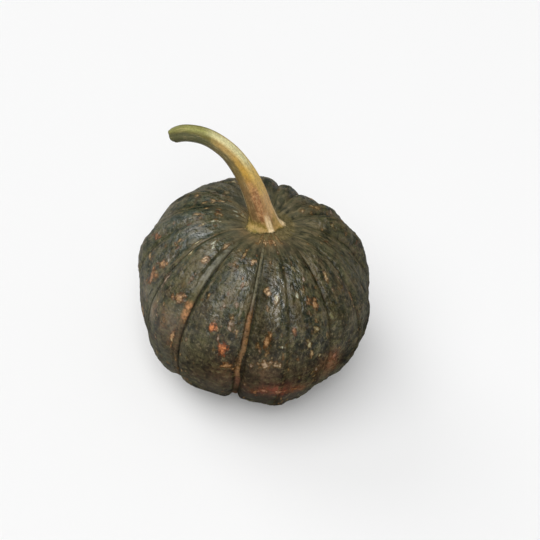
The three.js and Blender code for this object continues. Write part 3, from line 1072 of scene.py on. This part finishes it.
# ---- stalk ----
def stalk_line():
    """Points along a smooth curve through STALK_LINE, and the length passed at each."""
    knots = np.array(STALK_LINE, float)
    ends = np.concatenate([[2 * knots[0] - knots[1]], knots, [2 * knots[-1] - knots[-2]]])
    path = []
    for i in range(len(knots) - 1):
        p = ends[i:i + 4]
        gaps = np.sqrt(np.linalg.norm(np.diff(p, axis=0), axis=1))
        t = np.concatenate([[0], np.cumsum(gaps)])
        for u in np.linspace(t[1], t[2], STALK_CURVE_STEPS, endpoint=False):
            a = [(p[k] * (t[k + 1] - u) + p[k + 1] * (u - t[k])) / (t[k + 1] - t[k]) for k in range(3)]
            b = [(a[k] * (t[k + 2] - u) + a[k + 1] * (u - t[k])) / (t[k + 2] - t[k]) for k in range(2)]
            path.append((b[0] * (t[2] - u) + b[1] * (u - t[1])) / (t[2] - t[1]))
    path = np.array(path + [knots[-1]])
    passed = np.concatenate([[0], np.cumsum(np.linalg.norm(np.diff(path, axis=0), axis=1))])
    return path, passed


def foot_spread(angle):
    """How far the foot spreads beyond the stalk, with angle in radians from its first lobe."""
    count = len(FOOT_LOBES)
    place = (angle / (2 * math.pi)) % 1 * count
    k = np.floor(place).astype(int)
    share = (1 - np.cos(math.pi * (place - k))) / 2
    lobes = np.array(FOOT_LOBES)
    spread = lobes[k % count] * (1 - share) + lobes[(k + 1) % count] * share
    return spread - LOBE_DIP * (1 - np.cos(count * angle)) / 2


class Stalk:
    """The stalk's grid: rings from foot to cut end, with the angle round them from the left by the front."""

    def __init__(self):
        self.seat = float(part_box("stem")[0].z) / MM
        path, passed = stalk_line()
        self.length = passed[-1]
        self.share = np.linspace(0, 1, STALK_ROWS) ** STALK_CROWDING
        self.x = np.interp(self.share * self.length, passed, path[:, 0])
        self.up = np.interp(self.share * self.length, passed, path[:, 1])
        self.tangent = self.directions()
        self.side = np.stack([-self.tangent[:, 1], self.tangent[:, 0]], -1)
        self.angle = np.arange(STALK_COLUMNS) / STALK_COLUMNS * 2 * math.pi
        self.from_lobe = self.angle[None] - (90 + FIRST_LOBE) * DEG
        twist = STALK_TWIST * DEG * self.share[:, None]
        self.corner = np.cos(len(FOOT_LOBES) * (self.from_lobe - twist))
        self.rim = self.rims()
        slant = math.tan(CUT_SLANT * DEG) * smoothstep(*CUT_LEANS, self.share)[:, None]
        self.lift = -self.rim * np.cos(self.angle) * slant

    def directions(self):
        """The way that each ring faces: straight up at the foot, and soon along the stalk."""
        step = np.gradient(np.stack([self.x, self.up], -1), axis=0)
        blend = smoothstep(0, UPRIGHT_SHARE, self.share)[:, None]
        along = step / np.linalg.norm(step, axis=1, keepdims=True)
        tangent = along * blend + np.array([[0, 1]]) * (1 - blend)
        return tangent / np.linalg.norm(tangent, axis=1, keepdims=True)

    def rims(self):
        """The radius of each point: the spread foot, the five angles and the worn upper edge of the cut."""
        places = np.arange(len(STALK_RADII))
        radius = np.interp(self.share * places[-1], places, STALK_RADII)[:, None]
        flare = np.exp(-self.share * self.length / FOOT_HEIGHT)[:, None]
        rim = radius * (1 + ANGLE_RIDGE * self.corner) + flare * foot_spread(self.from_lobe)
        from_cut = np.clip(1 - (1 - self.share) * self.length / CUT_ROUNDING, 0, 1)[:, None]
        worn = smoothstep(-0.5, 1.0, -np.cos(self.angle))[None]
        return rim * (1 - CUT_SHRINK * worn * (1 - np.sqrt(1 - from_cut ** 2)))

    def ring(self, k, scale, sunk):
        """Ring k, scaled about its middle and sunk along the stalk."""
        across = self.rim[k] * scale * np.cos(self.angle)
        along = self.lift[k] * scale - sunk
        x = self.x[k] + self.side[k, 0] * across + self.tangent[k, 0] * along
        z = self.up[k] + self.side[k, 1] * across + self.tangent[k, 1] * along + self.seat
        return np.stack([x, -self.rim[k] * scale * np.sin(self.angle), z], -1)

    def rings(self):
        """All rings, from the middle of the cut out to its edge and then down to the foot."""
        wall = [self.ring(k, 1.0, 0.0) for k in range(STALK_ROWS)]
        cut = [self.ring(STALK_ROWS - 1, scale, sunk) for scale, sunk, _ in CUT_RINGS]
        return np.array(wall + cut)[::-1]

    def attributes(self):
        """Values for the material at each point of the rings, in their order."""
        ends = len(CUT_RINGS)
        shares = np.concatenate([self.share, np.full(ends, 1.0)])[::-1, None] + 0 * self.angle
        pith = [shown for _, _, shown in CUT_RINGS]
        turn = self.from_lobe + 0 * shares
        along = shares * self.length * FIBRE_STRETCH
        return dict(
            share=shares,
            fibre=np.stack([FIBRE_RADIUS * np.cos(turn), FIBRE_RADIUS * np.sin(turn), along], -1),
            above=-np.cos(self.angle) + 0 * shares,
            front=np.sin(self.angle) + 0 * shares,
            cut=np.concatenate([np.zeros(STALK_ROWS), pith])[::-1, None] + 0 * self.angle,
            ridge=np.concatenate([self.corner, np.repeat(self.corner[-1:], ends, 0)])[::-1],
        )

    def poles(self):
        """The middle of the cut, sunk a little, and the middle of the foot."""
        x, z = np.array([self.x[-1], self.up[-1] + self.seat]) - self.tangent[-1] * CUT_RINGS[-1][1]
        return (x, 0, z), (self.x[0], 0, self.seat)


def make_stalk():
    grid = Stalk()
    tip, foot = grid.poles()
    stalk = skin("stalk", tip, grid.rings(), foot, grid.attributes())
    stalk.data.materials.append(stalk_material())
    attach(stalk, "root")
    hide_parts("stem")


def stalk_patterns(s):
    """The noises and positions that the stalk's colour and relief are made from."""
    p = SimpleNamespace()
    place = s.place()
    for name in ("share", "above", "front", "ridge"):
        setattr(p, name, s.attribute(name))
    p.streak = s.noise(s.attribute("fibre", "Vector"), 0.9, 3, 0.6)
    p.blotch = s.noise(place, 3.2, 3, 0.65)
    p.fine = s.noise(s.moved(place, 40), 1.2, 2, 0.6)
    p.along = s.add(p.share, s.swing(s.noise(place, 9, 2), 0.16))
    return p


def stalk_ground(s, p):
    """Ruddy by the foot, then amber and straw, and olive towards the cut end."""
    ruddy = s.mix(s.band(p.blotch, 0.4, 0.6), srgb(142, 98, 62), srgb(184, 138, 92))
    color = s.mix(s.band(p.along, 0.3, 0.44), ruddy, srgb(192, 152, 66))
    color = s.mix(s.band(p.along, 0.48, 0.6), color, srgb(176, 146, 86))
    return s.mix(s.band(p.along, 0.66, 0.8), color, srgb(104, 100, 48))


def stalk_sides(s, p, color):
    """A painted highlight along the upper side beyond the bend, painted shade on the underside, and a green
    back.
    """
    # painted highlight along the upper side, beyond the bend
    highlight_color = s.mix(s.band(p.along, 0.66, 0.85), srgb(240, 234, 178), srgb(152, 152, 86))
    uneven = s.band(s.add(p.streak, s.times(p.fine, 0.4)), 0.5, 0.8, 0.6, 1.1)
    lit = s.times(s.band(p.above, 0.55, 0.95), s.times(uneven, s.band(p.along, 0.36, 0.56, 0, 0.95)))
    color = s.mix(s.times(lit, s.band(p.front, -0.5, -0.1)), color, highlight_color)
    # painted shade on the underside
    underside_shade_color = s.mix(s.band(p.along, 0.3, 0.55), srgb(112, 92, 56), srgb(66, 69, 46))
    edge = s.add(s.band(p.along, 0.32, 0.46, 0, 0.18), s.band(p.along, 0.68, 0.94, 0, 0.42))
    shaded = s.add(s.add(p.above, s.swing(p.blotch, 0.4)), s.times(edge, -1))
    color = s.mix(s.times(s.band(shaded, 0.15, -0.2), 0.8), color, underside_shade_color)
    return s.mix(s.band(p.front, -0.45, -0.8, 0, 0.7), color, srgb(122, 126, 80))


def stalk_lit_side(s, p, color):
    """A warm painted highlight on the outer side of the lower stalk, and the line along each of its angles.
    """
    # painted highlight on the outer, upper side of the lower stalk
    glow = s.times(s.band(s.add(p.above, s.swing(p.streak, 0.9)), 0.5, 0.9), s.band(p.along, 0.5, 0.4))
    glow = s.times(glow, s.band(s.add(p.above, s.times(p.along, 1.6)), 0.85, 1.1))
    lit_side_color = s.mix(s.band(p.along, 0.2, 0.32), srgb(226, 186, 124), srgb(232, 198, 112))
    color = s.mix(s.times(glow, 0.72), color, lit_side_color)
    angle_line = s.times(s.band(p.ridge, 0.7, 0.97), s.band(p.along, 0.4, 0.1, 0.0, 0.3))
    return s.mix(angle_line, color, srgb(182, 156, 100))


def stalk_fibres(s, p, color):
    """Lit and dim specks, dark and pale fibres, and a pale edge low down on the inner side."""
    color = s.mix(s.band(p.fine, 0.48, 0.66, 0, 0.6), color, s.tinted(color, (1.32, 1.28, 1.24, 1)))
    color = s.mix(s.band(p.fine, 0.48, 0.34, 0, 0.6), color, s.tinted(color, (0.76, 0.73, 0.66, 1)))
    color = s.mix(s.band(p.streak, 0.5, 0.72, 0, 0.4), color, srgb(98, 76, 42))
    color = s.mix(s.band(p.streak, 0.48, 0.3, 0, 0.3), color, srgb(214, 190, 136))
    low = s.times(s.band(p.along, 0.04, 0.1), s.band(p.along, 0.34, 0.24))
    inner_edge = s.times(s.band(p.above, -0.78, -0.96), low)
    return s.mix(s.times(inner_edge, 0.8), color, srgb(206, 196, 150))


def stalk_foot(s, p, color):
    """The corky foot, with a painted highlight on its ridges, and dark where it meets the rind."""
    foot = s.band(s.add(p.along, s.swing(p.streak, 0.08)), 0.115, 0.03)
    foot_color = s.mix(s.band(p.blotch, 0.4, 0.6), srgb(138, 122, 52), srgb(184, 154, 92))
    color = s.mix(s.times(foot, 0.75), color, foot_color)
    # painted highlight on the foot's ridges, where they face upwards
    ridge = s.times(s.band(p.ridge, 0.1, 0.8), s.band(p.above, -0.1, 0.3))
    ridge = s.times(ridge, s.band(s.add(p.share, s.swing(p.blotch, 0.24)), 0.15, 0.05))
    ridge = s.times(ridge, s.band(s.add(p.blotch, p.streak), 0.8, 1.1, 0.6, 1))
    color = s.mix(ridge, color, srgb(255, 226, 178))
    joint = s.times(s.band(p.share, 0.012, 0.002), s.band(p.streak, 0.4, 0.6, 0.5, 1))
    return s.mix(joint, color, srgb(80, 74, 40))


def stalk_end(s, p, color):
    """The darker end, and the pith that its cut shows."""
    color = s.mix(s.band(p.along, 0.86, 1.0, 0, 0.4), color, srgb(78, 78, 42))
    pith = s.mix(s.band(p.fine, 0.4, 0.65), srgb(120, 108, 70), srgb(170, 156, 110))
    return s.mix(s.attribute("cut"), color, pith)


def stalk_material():
    s = Shader("stalk")
    p = stalk_patterns(s)
    color = stalk_ground(s, p)
    for layer in (stalk_sides, stalk_lit_side, stalk_fibres, stalk_foot, stalk_end):
        color = layer(s, p, color)
    height = s.add(s.times(p.streak, 0.8), s.times(p.fine, 0.5))
    normal = s.bump(s.add(height, s.times(p.blotch, 0.6)), 0.6)
    return s.finish(
        Base_Color=color,
        Roughness=0.6,
        Normal=normal,
        Specular_IOR_Level=0.1,
        Coat_Weight=0.25,
        Coat_Roughness=0.4,
        Coat_IOR=1.6,
        Coat_Normal=normal,
    )


# ---- stage ----
def make_world():
    world = bpy.data.worlds.new("studio")
    world.use_nodes = True
    background = world.node_tree.nodes["Background"]
    background.inputs["Color"].default_value = SKY
    background.inputs["Strength"].default_value = SKY_STRENGTH
    bpy.context.scene.world = world
    bpy.context.scene.view_settings.view_transform = "Standard"


def make_floor():
    side = FLOOR_HALF_WIDTH * MM
    corners = [(-side, -side, 0), (side, -side, 0), (side, side, 0), (-side, side, 0)]
    mesh = bpy.data.meshes.new("floor")
    mesh.from_pydata(corners, [], [(0, 1, 2, 3)])
    mesh.materials.append(Shader("pale_floor").finish(Base_Color=PAPER, Roughness=0.9))
    floor = bpy.data.objects.new("floor", mesh)
    floor.location.z = -FLOOR_GAP * MM
    bpy.context.scene.collection.objects.link(floor)


def make_sun(name, azimuth, elevation, spread, strength):
    data = bpy.data.lights.new(name, "SUN")
    data.energy = strength
    data.angle = spread * DEG
    light = bpy.data.objects.new(name, data)
    a = azimuth * DEG
    e = elevation * DEG
    towards = Vector((math.sin(a) * math.cos(e), -math.cos(a) * math.cos(e), math.sin(e)))
    light.rotation_mode = "QUATERNION"
    light.rotation_quaternion = towards.to_track_quat("Z", "Y")
    bpy.context.scene.collection.objects.link(light)


make_camera()
make_fruit()
make_stalk()
make_world()
make_floor()
for sun in SUNS:
    make_sun(*sun)
